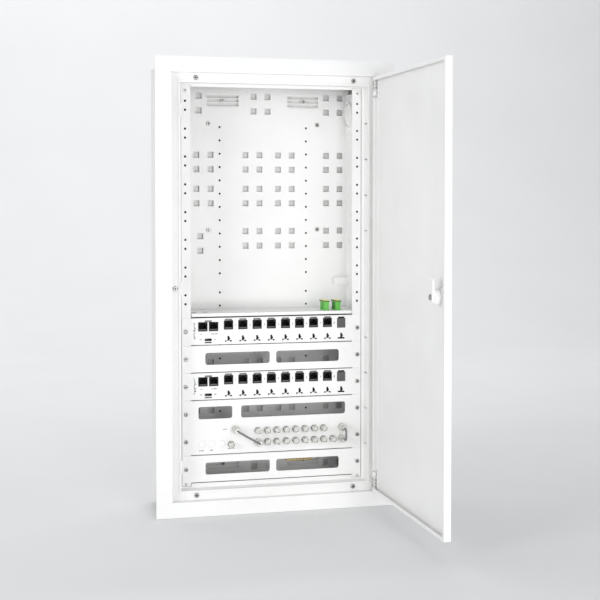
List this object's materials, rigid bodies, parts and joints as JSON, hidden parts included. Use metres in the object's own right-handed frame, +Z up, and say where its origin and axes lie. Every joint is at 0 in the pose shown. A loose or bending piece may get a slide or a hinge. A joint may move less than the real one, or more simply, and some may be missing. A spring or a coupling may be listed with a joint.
{
  "type": "flush-mounted telecom distribution cabinet",
  "caption": "Shallow white steel cabinet let into a wall, with a hinged door, equipment rails, network and coaxial socket panels and a fibre shelf.",
  "frame": {"origin": "middle of the wall box's back face, at the centre of the four wall fixing holes", "axes": "+X to the right seen from the front, +Y out of the back into the wall, +Z up; the door opens towards -Y"},
  "size_m": [0.3924, 0.4512, 0.7284],
  "materials": {
    "white_coat": "white powder coat, fine orange peel",
    "door_coat": "white powder coat, fine orange peel",
    "box_steel": "light grey-white primer coat on sheet steel",
    "white_moulding": "white moulded plastic, fine texture",
    "grey_rubber": "matt grey rubber",
    "zinc_steel": "bright zinc plate",
    "zinc_screw": "zinc-plated steel",
    "white_screw": "white-coated steel",
    "cast_alloy": "die-cast, as cast",
    "nickel": "satin nickel plate",
    "lead_jacket": "grey lead jacket",
    "green_moulding": "green moulded plastic",
    "yellow_moulding": "yellow dust cap",
    "brass_bar": "machined brass",
    "black_moulding": "black moulded plastic",
    "tinned_tab": "tinned steel",
    "board_mask": "black solder mask",
    "white_pin": "white-coated steel pin",
    "spring_steel": "zinc-plated spring wire"
  },
  "bodies": {
    "cabinet": {"back_box": "box_steel", "wall_anchors": "box_steel", "cable_entry_plates": "white_moulding", "cable_grommets": "grey_rubber", "frame_brackets": "zinc_steel", "mounting_plate": "white_coat", "plate_bosses": "zinc_steel", "plate_screws": "zinc_screw", "vent_screws": "zinc_screw", "vent_grilles": "white_coat", "trim_frame": "white_coat", "frame_screws": "zinc_screw", "strike_plate": "zinc_steel", "door_catches": "white_moulding", "rail_left": "white_coat", "rail_right": "white_coat", "rail_stays": "zinc_steel", "rail_screws": "white_screw", "side_entry_plate": "white_moulding", "side_entry_cap": "white_moulding", "lacing_bracket": "white_coat", "slotted_panel_upper": "white_coat", "slotted_panel_lower": "white_coat", "coax_panel": "white_coat", "splitter_housing": "cast_alloy", "coax_sockets": "nickel", "coax_plugs": "nickel", "blank_caps": "white_moulding", "jumper_long": "lead_jacket", "jumper_short": "lead_jacket", "panel_screws": "zinc_screw", "fibre_shelf": "white_coat", "fibre_adapters": "green_moulding", "adapter_caps": "yellow_moulding", "earth_bar": "brass_bar", "earth_screws": "zinc_screw", "earth_supports": "grey_rubber", "data_panel_upper": "white_coat", "data_panel_lower": "white_coat", "jacks_upper": "black_moulding", "jacks_lower": "black_moulding", "jack_latches_upper": "tinned_tab", "jack_latches_lower": "tinned_tab", "circuit_board_upper": "board_mask", "circuit_board_lower": "board_mask", "tie_anchors_upper": "white_moulding", "tie_anchors_lower": "white_moulding", "punch_blocks": "black_moulding"},
    "door": {"door_panel": "door_coat", "hinge_ear_upper": "white_coat", "hinge_ear_lower": "white_coat", "lock_housing": "white_moulding", "lock_nut": "white_moulding"},
    "lock": {"lock_core": "white_moulding", "lock_cam": "white_moulding", "cam_screw": "zinc_screw"},
    "pin_upper": {"hinge_pin_upper": "white_pin", "pin_spring_upper": "spring_steel"},
    "pin_lower": {"hinge_pin_lower": "white_pin", "pin_spring_lower": "spring_steel"}
  },
  "joints": [
    {"name": "door_swing", "type": "hinge", "parent": "cabinet", "child": "door", "pos_m": [0.1648, -0.1162, 0], "axis": [0, 0, 1], "range_deg": [-90, 0]},
    {"name": "lock_turn", "type": "hinge", "parent": "door", "child": "lock", "pos_m": [0.16, -0.421, 0.002], "axis": [1, 0, 0], "range_deg": [0, 90]},
    {"name": "pin_upper_slide", "type": "slide", "parent": "door", "child": "pin_upper", "axis": [0, 0, -1], "range_m": [0, 0.006], "stiffness_N_per_m": 300, "springref_m": -0.008, "deforming": ["pin_spring_upper"]},
    {"name": "pin_lower_slide", "type": "slide", "parent": "door", "child": "pin_lower", "axis": [0, 0, 1], "range_m": [0, 0.006], "stiffness_N_per_m": 300, "springref_m": -0.008, "deforming": ["pin_spring_lower"]}
  ]
}
